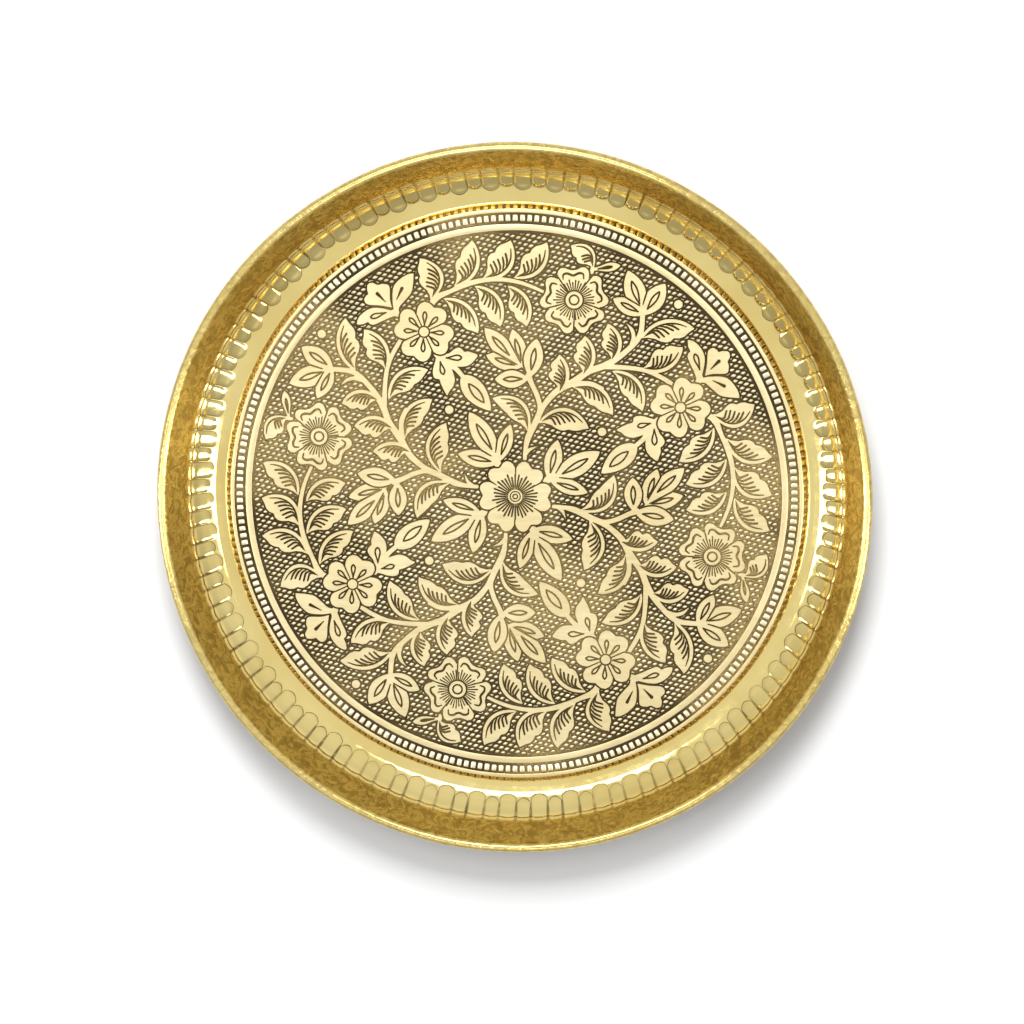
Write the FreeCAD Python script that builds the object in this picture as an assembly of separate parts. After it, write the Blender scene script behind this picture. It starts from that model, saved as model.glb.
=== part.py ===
import FreeCAD, Part
import math
import os

# A round brass serving tray with a raised, pressed floor, a heel that it stands on, a flared wall
# and an edge rolled outwards over a stiffening wire.
# Millimetres. +Z is up. The origin is the centre of the circle that the heel stands on.
# The tray is one sheet, divided here at its form lines: floor, heel, wall and rolled edge. Each
# piece is the upper line of its stretch of sheet, thickened downwards and turned about the Z axis.

# Driving dimensions
OUTER_RADIUS = 77.5        # outside of the rolled edge
HEIGHT = 12.5              # standing surface to the top of the rolled edge
SHEET = 0.6                # sheet thickness
WIRE_RADIUS = 0.48         # stiffening wire, with a hair of room inside the roll
WIRE_ROOM = 0.02
FLOOR_TOP = 2.3            # top of the floor's border above the standing surface
RELIEF_DEPTH = 0.45        # how far the pattern field lies below the border
FIELD_RADIUS = 57.7        # pattern field
LACQUER_THICKNESS = 0.1    # dark lacquer left in the pattern field
ROLL_TURN = 290.0          # degrees that the sheet turns round the wire

# Radii of the form lines, from the floor outwards
FLOOR_EDGE_RADIUS = 62.2   # where the floor is divided from the heel
STEP_RADIUS = 62.8         # upper edge of the step down to the heel
HEEL_INNER_RADIUS = 64.0
HEEL_OUTER_RADIUS = 65.2
WALL_FOOT_RADIUS = 67.6
WALL_FOOT_HEIGHT = 1.25
WALL_KNEE_RADIUS = 70.9    # where the sloping band turns up into the steep wall
WALL_KNEE_HEIGHT = 3.9

# Bend radii of the upper line
BORDER_BEND = 0.2
HEEL_BEND = 0.5
WALL_FOOT_BEND = 4.0
WALL_KNEE_BEND = 10.0

ORIGIN = FreeCAD.Vector(0, 0, 0)
UP = FreeCAD.Vector(0, 0, 1)


def point(radius, height):
    return FreeCAD.Vector(radius, 0, height)


def bent_line(corners, bends):
    """An open wire of straight runs between the corners, with a tangent arc at each inner corner."""
    edges = []
    start = corners[0]
    for before, corner, after, bend in zip(corners, corners[1:], corners[2:], bends):
        back = (before - corner).normalize()
        ahead = (after - corner).normalize()
        half_angle = back.getAngle(ahead) / 2
        setback = bend / math.tan(half_angle)
        inward = (back + ahead).normalize()
        centre = corner + inward * (bend / math.sin(half_angle))
        arc_start = corner + back * setback
        arc_end = corner + ahead * setback
        edges.append(Part.LineSegment(start, arc_start).toShape())
        edges.append(Part.Arc(arc_start, centre - inward * bend, arc_end).toShape())
        start = arc_end
    edges.append(Part.LineSegment(start, corners[-1]).toShape())
    return Part.Wire(edges)


def turned_sheet(corners, bends):
    """The sheet under an upper line, turned about the tray's axis."""
    section = bent_line(corners, bends).makeOffset2D(-SHEET, join=0, fill=True, openResult=True)
    return section.revolve(ORIGIN, UP, 360)


def roll_centre():
    roll_radius = WIRE_RADIUS + WIRE_ROOM + SHEET
    return point(OUTER_RADIUS - roll_radius, HEIGHT - roll_radius)


def wall_normal():
    """Unit vector, inwards and up, square to the steep wall, whose line touches the roll."""
    roll_radius = WIRE_RADIUS + WIRE_ROOM + SHEET
    to_centre = roll_centre() - point(WALL_KNEE_RADIUS, WALL_KNEE_HEIGHT)
    bearing = math.atan2(to_centre.z, to_centre.x)
    normal_angle = bearing + math.asin(roll_radius / to_centre.Length) + math.pi / 2
    return point(math.cos(normal_angle), math.sin(normal_angle))


def wall_top():
    return roll_centre() + wall_normal() * (WIRE_RADIUS + WIRE_ROOM + SHEET)


def heel_split():
    """Middle of the gentle run between the heel and the wall's foot, where the two pieces meet."""
    heel_outer = point(HEEL_OUTER_RADIUS, SHEET)
    wall_foot = point(WALL_FOOT_RADIUS, WALL_FOOT_HEIGHT)
    return (heel_outer + wall_foot) * 0.5


def base_panel():
    """Floor: the sunken pattern field inside a raised border."""
    field_height = FLOOR_TOP - RELIEF_DEPTH
    corners = [
        point(0, field_height),
        point(FIELD_RADIUS, field_height),
        point(FIELD_RADIUS + RELIEF_DEPTH, FLOOR_TOP),
        point(FLOOR_EDGE_RADIUS, FLOOR_TOP),
    ]
    return turned_sheet(corners, [BORDER_BEND, BORDER_BEND])


def antique_fill():
    """Dark lacquer wiped into the pattern field, a skin on the floor sheet."""
    radius = FIELD_RADIUS - BORDER_BEND
    return Part.makeCylinder(radius, LACQUER_THICKNESS, point(0, FLOOR_TOP - RELIEF_DEPTH), UP)


def heel_ring():
    """Step down from the border and the flat heel that the tray stands on."""
    corners = [
        point(FLOOR_EDGE_RADIUS, FLOOR_TOP),
        point(STEP_RADIUS, FLOOR_TOP),
        point(HEEL_INNER_RADIUS, SHEET),
        point(HEEL_OUTER_RADIUS, SHEET),
        heel_split(),
    ]
    return turned_sheet(corners, [BORDER_BEND, HEEL_BEND, HEEL_BEND])


def side_wall():
    """Flared wall, from the heel's gentle outer run up to the rolled edge."""
    corners = [
        heel_split(),
        point(WALL_FOOT_RADIUS, WALL_FOOT_HEIGHT),
        point(WALL_KNEE_RADIUS, WALL_KNEE_HEIGHT),
        wall_top(),
    ]
    return turned_sheet(corners, [WALL_FOOT_BEND, WALL_KNEE_BEND])


def rim_roll():
    """The sheet's edge, rolled outwards over the wire and down again beside the wall."""
    centre = roll_centre()
    inner = WIRE_RADIUS + WIRE_ROOM
    outer = inner + SHEET
    start = math.degrees(math.atan2(wall_normal().z, wall_normal().x))

    def at(radius, turned):
        angle = math.radians(start - turned)
        return centre + point(radius * math.cos(angle), radius * math.sin(angle))

    outer_arc = Part.Arc(at(outer, 0), at(outer, ROLL_TURN / 2), at(outer, ROLL_TURN))
    inner_arc = Part.Arc(at(inner, ROLL_TURN), at(inner, ROLL_TURN / 2), at(inner, 0))
    section = Part.Wire([
        outer_arc.toShape(),
        Part.LineSegment(at(outer, ROLL_TURN), at(inner, ROLL_TURN)).toShape(),
        inner_arc.toShape(),
        Part.LineSegment(at(inner, 0), at(outer, 0)).toShape(),
    ])
    return Part.Face(section).revolve(ORIGIN, UP, 360)


def rim_wire():
    """Round wire sealed inside the rolled edge."""
    centre = roll_centre()
    return Part.makeTorus(centre.x, WIRE_RADIUS, point(0, centre.z), UP)


PIECES = {
    "base_panel": base_panel,
    "antique_fill": antique_fill,
    "heel_ring": heel_ring,
    "side_wall": side_wall,
    "rim_roll": rim_roll,
    "rim_wire": rim_wire,
}

os.makedirs("parts", exist_ok=True)
for name, make in PIECES.items():
    shape = make()
    shape.exportStep(f"parts/{name}.step")
    print(name, "valid" if shape.isValid() else "NOT VALID", round(shape.Volume, 1), "mm3")
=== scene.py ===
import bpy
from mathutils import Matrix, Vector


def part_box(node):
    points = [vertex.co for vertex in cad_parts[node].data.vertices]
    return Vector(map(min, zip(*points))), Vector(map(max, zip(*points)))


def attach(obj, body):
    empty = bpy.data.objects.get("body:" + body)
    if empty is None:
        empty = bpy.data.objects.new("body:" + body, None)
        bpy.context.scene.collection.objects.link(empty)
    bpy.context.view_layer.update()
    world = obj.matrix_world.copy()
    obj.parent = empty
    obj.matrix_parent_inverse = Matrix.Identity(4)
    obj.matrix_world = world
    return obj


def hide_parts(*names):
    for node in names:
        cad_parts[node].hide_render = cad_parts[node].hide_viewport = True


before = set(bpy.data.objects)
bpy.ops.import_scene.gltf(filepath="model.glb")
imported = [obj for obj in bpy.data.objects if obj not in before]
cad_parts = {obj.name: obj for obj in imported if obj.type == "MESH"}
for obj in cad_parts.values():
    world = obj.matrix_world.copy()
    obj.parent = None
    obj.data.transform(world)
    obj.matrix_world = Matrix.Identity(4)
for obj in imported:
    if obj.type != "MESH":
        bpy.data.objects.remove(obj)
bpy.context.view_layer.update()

import math

import bpy
import numpy as np
from mathutils import Matrix, Vector
from mathutils.geometry import delaunay_2d_cdt

# An embossed brass tray. Sizes are in millimetres until a mesh is made, and come from the frame:
# the panel's edge, the lacquer that fills the recess, and the rolled rim.

MM = 0.001


def box_mm(node):
    """A CAD node's lowest and highest corners, in millimetres."""
    return [[value / MM for value in corner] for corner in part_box(node)]


PANEL_RADIUS = box_mm("base_panel")[1][0]      # where the floor panel ends
FLOOR_TOP = box_mm("base_panel")[1][2]         # top of the raised ornament
FIELD_RADIUS = box_mm("antique_fill")[1][0] + 0.2
RECESS = box_mm("antique_fill")[0][2]          # bottom of the recess between the ornament
FILL_TOP = box_mm("antique_fill")[1][2]        # top of the dark lacquer in it
OUTER_RADIUS = box_mm("rim_roll")[1][0]
HEIGHT = box_mm("rim_roll")[1][2]
SHEET = 0.6                                    # thickness of the brass
SUNK = 0.02                                    # how far a raised piece starts below what it stands on

# The upper side of the sheet beyond the floor, as radius and height.
STEP_TOP = (PANEL_RADIUS + 0.6, FLOOR_TOP)
HEEL_INNER = (PANEL_RADIUS + 1.8, SHEET)
HEEL_OUTER = (PANEL_RADIUS + 3.0, SHEET + 0.18)
WALL_START = (PANEL_RADIUS + 4.2, 1.03)
WALL_FOOT = (PANEL_RADIUS + 5.4, 1.34)
WALL_KNEE = (PANEL_RADIUS + 8.7, 3.9)
ROLL_RADIUS = 1.1
ROLL_CENTRE = (OUTER_RADIUS - ROLL_RADIUS, HEIGHT - ROLL_RADIUS)
ROLL_TURN = 290                                # degrees that the rim is rolled through

# The border's rings, from the field outwards.
PLAIN_RING = (58.15, 59.55)
DENTIL_RING = (60.08, 61.62)
THIN_RING = 62.02
DENTIL_COUNT = 244

# The wall's flutes, wide and narrow in turn: half width as a share of the pair, height, and where
# the flute starts along the wall.
FLUTE_PAIRS = 62
FLUTES = [(0.54, 0.26, 0.20), (0.46, 0.22, 1.00)]
FLUTE_COLUMNS = (9, 7)
FLUTE_END = 6.0            # along the wall
FLUTE_FOOT = 1.2           # length over which a flute rises from the wall
FLUTE_ARCH = 1.0           # how much later it starts at its edges
FLUTE_CROWN = 0.8          # length of its rounded upper end
FLUTE_FALL = 0.30          # share of its height lost before the crown
CREASE_SHADE_WIDTHS = (0.22, 0.50)   # of the painted shade along the flutes' sides, at the foot and the knee
RIDGE_HEIGHT = 0.23
RIDGE_SCALLOP = 0.42

# ---------------------------------------------------------------------------------------------
# The floor's ornament, drawn as a field over a square grid: above zero is raised brass, and the
# value is close to the distance from the nearest edge. All of it is in millimetres, in the tray's
# own plan, and one quarter is drawn and turned four times. Only the middle flower stands alone.

GRID_STEP = 0.08           # between grid points
GRID_HALF = 58.0           # half the side of the grid
FAR_BELOW = -9.0           # the field where nothing is drawn
MOAT = 0.30                # dark gap left round a motif that lies over another
GROOVE = 0.165             # half the width of an engraved line


class Field:
    """A grid of values over the tray's plan, rows along y and columns along x."""

    def __init__(self):
        count = 2 * round(GRID_HALF / GRID_STEP) + 1
        self.axis = np.linspace(-GRID_HALF, GRID_HALF, count)
        self.value = np.full((count, count), FAR_BELOW, dtype=np.float32)

    def window(self, points, margin):
        low = np.min(points, axis=0) - margin
        high = np.max(points, axis=0) + margin
        columns = slice(*np.searchsorted(self.axis, (low[0], high[0])))
        rows = slice(*np.searchsorted(self.axis, (low[1], high[1])))
        x, y = np.meshgrid(self.axis[columns], self.axis[rows])
        return (rows, columns), x, y

    def raise_to(self, where, values):
        self.value[where] = np.maximum(self.value[where], values)

    def quartered(self):
        """The greatest of the field and its three quarter turns."""
        turned = Field()
        for quarter in range(4):
            turned.value = np.maximum(turned.value, np.rot90(self.value, quarter))
        return turned


def smooth_line(points, steps=8):
    """A smooth open curve through a few points, as an array of closer points."""
    p = np.asarray(points, dtype=float)
    p = np.vstack([2 * p[0] - p[1], p, 2 * p[-1] - p[-2]])
    t = np.linspace(0, 1, steps, endpoint=False)[:, None]
    spans = []
    for a, b, c, d in zip(p, p[1:], p[2:], p[3:]):
        spans.append(0.5 * (2 * b + (c - a) * t + (2 * a - 5 * b + 4 * c - d) * t ** 2
                            + (3 * b - a - 3 * c + d) * t ** 3))
    return np.vstack(spans + [p[-2]])


def stroke(field, points, widths, steps=8):
    """A line of varying half-width along a smooth curve."""
    line = smooth_line(points, steps)
    width = np.interp(np.linspace(0, 1, len(line)), np.linspace(0, 1, len(widths)), widths)
    where, x, y = field.window(line, max(widths) + 1.0)
    nearest = np.full(x.shape, FAR_BELOW)
    for (ax, ay), (bx, by), wa, wb in zip(line, line[1:], width, width[1:]):
        dx, dy = bx - ax, by - ay
        t = np.clip(((x - ax) * dx + (y - ay) * dy) / max(dx * dx + dy * dy, 1e-9), 0, 1)
        gap = np.hypot(x - ax - t * dx, y - ay - t * dy)
        nearest = np.maximum(nearest, wa + (wb - wa) * t - gap)
    field.raise_to(where, nearest)


def plate(field, outline):
    """A raised plate with a closed outline."""
    line = np.asarray(outline, dtype=float)
    where, x, y = field.window(line, 1.0)
    gap = np.full(x.shape, -FAR_BELOW)
    inside = np.zeros(x.shape, dtype=bool)
    for (ax, ay), (bx, by) in zip(line, np.roll(line, -1, axis=0)):
        dx, dy = bx - ax, by - ay
        t = np.clip(((x - ax) * dx + (y - ay) * dy) / max(dx * dx + dy * dy, 1e-9), 0, 1)
        gap = np.minimum(gap, np.hypot(x - ax - t * dx, y - ay - t * dy))
        if dy:
            inside ^= ((ay > y) != (by > y)) & (x < ax + (y - ay) * dx / dy)
    field.raise_to(where, np.where(inside, gap, -gap))


def disc(field, centre, radius):
    where, x, y = field.window(np.array([centre]), radius + 1.0)
    field.raise_to(where, radius - np.hypot(x - centre[0], y - centre[1]))


def ring(field, centre, radius, half_width):
    where, x, y = field.window(np.array([centre]), radius + half_width + 1.0)
    field.raise_to(where, half_width - np.abs(np.hypot(x - centre[0], y - centre[1]) - radius))


class Frame2:
    """Places along and across a chord: t runs from its base to its tip, across is in mm."""

    def __init__(self, base, tip, side=1):
        self.base = np.array(base, dtype=float)
        chord = np.array(tip, dtype=float) - self.base
        self.length = np.hypot(*chord)
        self.ahead = chord / self.length
        self.across = side * np.array([-self.ahead[1], self.ahead[0]])

    def at(self, t, across):
        t = np.asarray(t, dtype=float)[..., None]
        across = np.asarray(across, dtype=float)[..., None]
        return self.base + self.ahead * self.length * t + self.across * across


# The toothed edge of a leaf: how far along, and its depth as a share of the belly.
TOOTHED_EDGE = [(0.0, 0.0), (0.12, 0.22), (0.25, 0.50), (0.36, 0.86), (0.45, 1.0), (0.53, 0.96),
                (0.60, 0.66), (0.70, 0.80), (0.79, 0.70), (0.89, 0.30), (1.0, 0.0)]
VEIN_ENDS = [(0.34, 0.24), (0.43, 0.34), (0.52, 0.44), (0.61, 0.53), (0.71, 0.62)]   # along, share of the way


def leaf(brass, lines, base, tip, arch, belly, band=1.0, veins=5):
    """A leaf with a smooth band along its arched side, a midrib, veins and a toothed far side.

    arch is the height of the arched side over the chord, positive to the left of base to tip.
    """
    place = Frame2(base, tip, math.copysign(1, arch))
    height = abs(arch)
    bulge = lambda t: (4 * t * (1 - t)) ** 0.8
    t = np.linspace(0, 1, 25)
    edge_t, edge_depth = np.array(TOOTHED_EDGE).T
    hollow = lambda t: 0.12 * height * np.sin(np.pi * np.minimum(1, t / 0.4))
    depth = lambda t: hollow(t) - belly * np.interp(t, edge_t, edge_depth)
    arched = place.at(t, height * bulge(t))
    toothed = place.at(edge_t, depth(edge_t))
    plate(brass, np.vstack([arched, toothed[::-1][1:-1]]))

    rib = lambda t: height * bulge(t) - band * np.minimum(1, 2.2 * bulge(t)) ** 0.5
    rib_t = np.linspace(0.07, 0.86, 7)
    stroke(lines, place.at(rib_t, rib(rib_t)), [0.04, GROOVE, GROOVE, GROOVE, 0.08], steps=4)
    for end, share in VEIN_ENDS[:veins]:
        start = end - 0.24
        middle = end - 0.10
        stop = rib(end) + (depth(end) - rib(end)) * (1 - share)
        bend = rib(middle) + (depth(middle) - rib(middle)) * (1 - share) * 0.42
        path = place.at([start, middle, end], [rib(start), bend, stop])
        stroke(lines, path, [0.08, 1.3 * GROOVE, 1.1 * GROOVE], steps=5)


def almond(brass, lines, base, tip, half_width, blunt=0.5, eye=(0.20, 0.74), eye_share=0.25):
    """A pointed leaf with an engraved almond in its middle. blunt is where it is widest."""
    place = Frame2(base, tip)
    t = np.linspace(0, 1, 21)
    power = math.log(0.5) / math.log(blunt)
    profile = np.sin(math.pi * t ** power) ** 0.78
    outline = np.vstack([place.at(t, half_width * profile), place.at(t[::-1], -half_width * profile[::-1])[1:-1]])
    plate(brass, outline)
    start, end = eye
    eye_t = start + (end - start) * t
    eye_width = half_width * eye_share * np.sin(math.pi * t ** (1.25 * power)) ** 0.8
    upper = place.at(eye_t, eye_width)
    lower = place.at(eye_t, -eye_width)
    stroke(lines, upper, [0.16, 0.16], steps=1)
    stroke(lines, lower, [0.16, 0.16], steps=1)


def drop(lines, point, end, half_width):
    """An engraved outline of a drop, pointed at one end and round at the other."""
    place = Frame2(point, end)
    t = np.linspace(0, 1, 15)
    width = half_width * np.sin(math.pi * t ** 2.0) ** 0.7
    stroke(lines, place.at(t, width), [0.14, 0.16], steps=1)
    stroke(lines, place.at(t, -width), [0.14, 0.16], steps=1)


def polar(centre, angle, radius):
    """Points at angles in degrees round a centre."""
    turn = np.radians(angle)
    return np.array(centre) + np.stack([radius * np.cos(turn), radius * np.sin(turn)], axis=-1)


def flower_outline(centre, petals, turn, knots):
    """A closed flower outline from a half petal's (share of the half angle, radius) knots."""
    share, radius = np.array(knots).T
    half = 180 / petals
    angle = np.linspace(-half, half, 25)[:-1]
    petal_radius = np.interp(np.abs(angle) / half, share, radius)
    angles = np.concatenate([turn + 2 * half * k + angle for k in range(petals)])
    return polar(centre, angles, np.tile(petal_radius, petals))


def rays(lines, centre, count, inner, outer, half_width, uneven=0.0):
    """Short engraved lines round a centre."""
    for k in range(count):
        angle = 360 * k / count
        reach = outer + uneven * math.sin(k * 2.4)
        stroke(lines, polar(centre, np.array([angle, angle]), np.array([inner, reach])),
               [half_width * 0.7, half_width, half_width], steps=1)


ROSE_PLACE = (12.78, 43.14)
ROSE_KNOTS = [(0.0, 6.45), (0.2, 6.6), (0.42, 7.3), (0.58, 7.5), (0.76, 7.2), (0.9, 6.5), (1.0, 5.7)]


def rose(brass, lines, centre):
    """Five petals with rolled edges, a ring of stamens and a round eye."""
    petals, turn = 5, 20
    plate(brass, flower_outline(centre, petals, turn, ROSE_KNOTS))
    for k in range(petals):
        axis = turn + 72 * k
        between = axis + 36
        stroke(lines, polar(centre, np.array([between, between - 3.0]), np.array([2.3, 6.8])),
               [0.10, 0.14], steps=2)
        angle = axis + np.array([-26, -21, -12, 0, 12, 21, 26])
        radius = np.array([5.1, 5.95, 5.9, 5.3, 5.9, 5.95, 5.1])
        stroke(lines, polar(centre, angle, radius), [0.12, 0.23, 0.23, 0.12], steps=5)
    rays(lines, centre, 38, 2.2, 4.1, 0.125, uneven=0.35)
    ring(lines, centre, 2.02, 0.15)
    ring(lines, centre, 1.02, 0.16)


SMALL_PLACE = (35.97, 19.93)
SMALL_KNOTS = [(0.0, 5.75), (0.12, 6.0), (0.3, 6.45), (0.5, 6.55), (0.7, 6.15), (0.85, 5.4), (1.0, 4.3)]


def small_flower(brass, lines, centre):
    """Four heart-shaped petals with two drops each, and a round eye."""
    petals, turn = 4, 67
    plate(brass, flower_outline(centre, petals, turn, SMALL_KNOTS))
    for k in range(petals):
        axis = turn + 90 * k
        stroke(lines, polar(centre, np.array([axis + 45, axis + 47]), np.array([1.4, 5.2])),
               [0.10, 0.13], steps=2)
        for side in (-20, 20):
            point, end = polar(centre, np.array([axis + side * 0.9, axis + side]), np.array([1.5, 4.35]))
            drop(lines, point, end, 0.42)
    ring(lines, centre, 1.2, 0.13)


MIDDLE_KNOTS = [(0.0, 7.15), (0.1, 7.3), (0.32, 7.9), (0.5, 8.05), (0.7, 7.75), (0.86, 7.1), (1.0, 6.0)]


def middle_flower(brass, lines):
    """Six heart-shaped petals round a sunburst of fine lines."""
    petals, turn = 6, -1
    plate(brass, flower_outline((0, 0), petals, turn, MIDDLE_KNOTS))
    for k in range(petals):
        between = turn + 60 * k + 30
        stroke(lines, polar((0, 0), np.array([between, between]), np.array([4.8, 6.8])), [0.08, 0.17], steps=2)
    rays(lines, (0, 0), 36, 1.7, 4.6, 0.17, uneven=0.4)
    ring(lines, (0, 0), 1.1, 0.10)
    ring(lines, (0, 0), 0.5, 0.12)


# Leaves on the vine that winds out from the middle: base, tip, arch, belly.
VINE_LEAVES = [
    ((2.9, 14.0), (-5.1, 21.6), -4.2, 0.25),
    ((5.0, 16.2), (16.1, 15.1), 4.0, 1.05),
    ((9.9, 22.8), (9.6, 31.3), -2.1, 2.5),
    ((12.2, 24.3), (21.3, 18.1), 3.6, 0.95),
    ((14.9, 26.6), (15.1, 35.4), -2.5, 2.3),
    ((21.0, 27.8), (27.7, 19.0), 3.5, 1.1),
    ((21.1, 29.8), (20.1, 38.1), -2.6, 1.9),
    ((27.4, 28.2), (36.4, 33.1), -2.9, 2.2),
    ((27.2, 34.9), (38.9, 37.1), 3.1, 1.9),
]
# Leaves on the vine along the border.
BORDER_LEAVES = [
    ((42.8, 18.5), (52.0, 20.8), -4.1, 1.35),
    ((45.8, 13.4), (56.0, 9.4), -3.6, 1.5),
    ((47.6, 7.2), (56.0, 1.0), -3.8, 1.8),
    ((47.8, 0.4), (55.6, -6.9), -3.4, 1.7),
    ((43.3, 15.7), (35.7, 8.1), 3.0, 1.6),
    ((46.1, 8.9), (37.2, 3.2), 3.3, 1.7),
    ((46.2, 1.7), (37.3, -2.5), 3.0, 1.8),
]
# Stems: points and half-widths.
STEMS = [
    ([(2.1, 8.4), (2.2, 10.2), (2.8, 13.0), (4.2, 15.9), (6.2, 20.0), (9.0, 23.2), (12.5, 25.2),
      (16.0, 27.6), (20.0, 29.2), (23.8, 31.8), (27.0, 35.4), (27.7, 40.2)],
     [0.45, 0.45, 0.7, 0.7, 0.6, 0.7, 0.8, 0.7, 0.75, 0.6, 0.6, 0.55]),
    ([(4.6, 16.6), (5.4, 19.5), (4.8, 22.2), (3.6, 24.8), (2.9, 26.6)], [0.7, 0.55, 0.55, 0.55, 0.7]),
    ([(2.2, 9.3), (3.2, 10.4), (4.9, 11.1)], [0.45, 0.38, 0.05]),
    ([(13.0, 25.1), (16.5, 25.0), (19.0, 24.0)], [0.5, 0.45, 0.35]),
    ([(19.5, 28.7), (24.6, 28.5), (28.4, 27.9), (31.5, 26.6), (34.2, 25.0)], [0.6, 0.5, 0.5, 0.5, 0.5]),
    ([(25.2, 33.2), (25.7, 35.2), (25.3, 36.8), (24.2, 38.1)], [0.5, 0.45, 0.40, 0.08]),
    ([(41.0, 18.8), (43.4, 17.2), (44.8, 14.2), (46.3, 10.8), (47.3, 7.0), (47.5, 3.0), (46.9, -0.8),
      (45.9, -3.8), (44.9, -6.0)], [0.55, 0.75, 0.5, 0.6, 0.55, 0.5, 0.45, 0.4, 0.35]),
    ([(39.6, 25.0), (40.1, 26.6)], [0.6, 0.7]),
    ([(31.0, 17.2), (29.8, 15.4), (28.0, 13.0), (26.0, 11.2)], [0.6, 0.8, 0.55, 0.5]),
    ([(6.6, 3.4), (8.2, 4.6)], [0.7, 1.0]),
    ([(16.6, 49.2), (16.8, 50.4)], [0.45, 0.4]),
    ([(16.8, 49.7), (18.6, 50.2)], [0.32, 0.35]),
]
# Pointed leaves with an engraved almond: base, tip, half width.
LOWER_ALMONDS = [
    ((1.7, 28.2), (-0.6, 36.7), 1.85),
    ((0.0, 29.6), (-6.7, 36.9), 1.95),
    ((1.4, 28.4), (-6.4, 31.0), 1.80),
]
UPPER_ALMONDS = [
    ((3.2, 26.2), (4.7, 34.7), 2.1),
    ((2.9, 25.9), (-4.5, 25.7), 1.95),
    ((7.3, 3.6), (9.3, 12.6), 1.9),
    ((8.3, 3.9), (18.5, 10.1), 2.3),
    ((7.6, 3.6), (15.9, 1.0), 1.65),
    ((27.6, 40.6), (24.4, 49.6), 2.25),
    ((27.7, 39.9), (32.5, 46.8), 2.15),
    ((28.0, 40.0), (21.2, 43.5), 1.75),
]
# Cuts between the leaves of a cluster, from the notch down to the stem.
LEAF_CUTS = [
    [(10.1, 7.4), (8.9, 5.3)],
    [(12.3, 4.0), (9.7, 4.3)],
    [(28.5, 44.9), (27.7, 42.3)],
    [(23.9, 43.8), (27.0, 42.0)],
    [(-1.4, 34.2), (1.2, 29.4)],
    [(-4.7, 31.8), (0.4, 29.0)],
]
DOTS = [(18.95, 14.45), (35.35, 42.35)]
DOT_RADIUS = 0.95


def bell_flower(brass, lines):
    """Three petals outside the small flower."""
    plate(brass, smooth_line([(39.4, 26.2), (38.7, 28.0), (37.5, 30.6), (37.5, 31.6), (38.0, 32.2)]
                             ).tolist() + smooth_line([(37.5, 33.2), (37.5, 34.6), (39.0, 34.2), (40.3, 32.9),
                                                       (41.1, 31.2), (41.1, 29.3), (40.6, 27.0)]).tolist())
    plate(brass, smooth_line([(41.2, 26.9), (41.6, 29.5), (41.8, 32.2), (42.8, 33.0), (43.7, 32.6), (44.1, 32.1)]
                             ).tolist() + smooth_line([(45.0, 32.35), (46.2, 32.2), (46.6, 31.2), (46.1, 30.0)]
                             ).tolist() + smooth_line([(46.4, 29.0), (46.2, 27.8), (45.4, 27.35), (43.0, 27.3),
                                                       (41.2, 26.9)]).tolist())
    plate(brass, smooth_line([(40.0, 26.4), (42.6, 26.8), (45.6, 26.6), (47.4, 25.2), (48.5, 23.4), (48.7, 22.1)]
                             ).tolist() + smooth_line([(46.8, 22.2), (44.6, 22.6), (42.9, 23.9), (41.4, 25.2),
                                                       (40.0, 25.4)]).tolist())
    drop(lines, (40.1, 28.2), (39.0, 31.6), 0.48)
    stroke(lines, [(42.4, 28.3), (44.2, 30.1)], [0.06, 0.36])
    stroke(lines, [(42.9, 25.9), (45.4, 24.7)], [0.06, 0.34])


def bud_spray(brass, lines):
    """Two petals and an almond bud inside the small flower."""
    plate(brass, smooth_line([(31.4, 17.2), (29.6, 17.5), (28.3, 17.9), (27.0, 18.05), (25.9, 17.7), (25.6, 16.6)]
                             ).tolist() + smooth_line([(24.4, 16.2), (23.2, 15.6), (22.1, 14.9), (23.1, 14.3),
                                                       (24.2, 13.5), (25.8, 13.2), (27.8, 13.8), (29.4, 14.6),
                                                       (31.2, 15.4)]).tolist())
    plate(brass, smooth_line([(31.2, 16.0), (31.3, 14.6), (32.2, 13.4), (32.6, 12.5), (32.4, 11.8), (31.7, 11.1)]
                             ).tolist() + smooth_line([(31.8, 10.2), (31.5, 9.3), (31.0, 8.2), (29.9, 8.8),
                                                       (28.8, 10.0), (28.4, 11.4), (28.5, 12.8), (29.4, 14.4)]
                             ).tolist())
    drop(lines, (29.5, 16.4), (26.7, 15.7), 0.48)
    drop(lines, (30.3, 15.1), (30.4, 11.7), 0.55)
    almond(brass, lines, (26.5, 11.7), (18.8, 5.3), 2.35, blunt=0.42, eye=(0.24, 0.76), eye_share=0.34)


def rose_bud(brass, lines):
    """The leaf and the bud outside the rose."""
    leaf(brass, lines, (16.9, 49.9), (12.0, 54.9), -2.9, 1.4, band=0.8, veins=3)
    almond(brass, lines, (16.8, 49.7), (22.8, 50.7), 0.95, blunt=0.62, eye=(0.2, 0.7), eye_share=0.22)


def over(below, above):
    """Lays one field over another, with a moat between them."""
    merged = Field()
    merged.value = np.maximum(np.minimum(below.value, -(above.value + MOAT)), above.value)
    return merged


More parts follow.
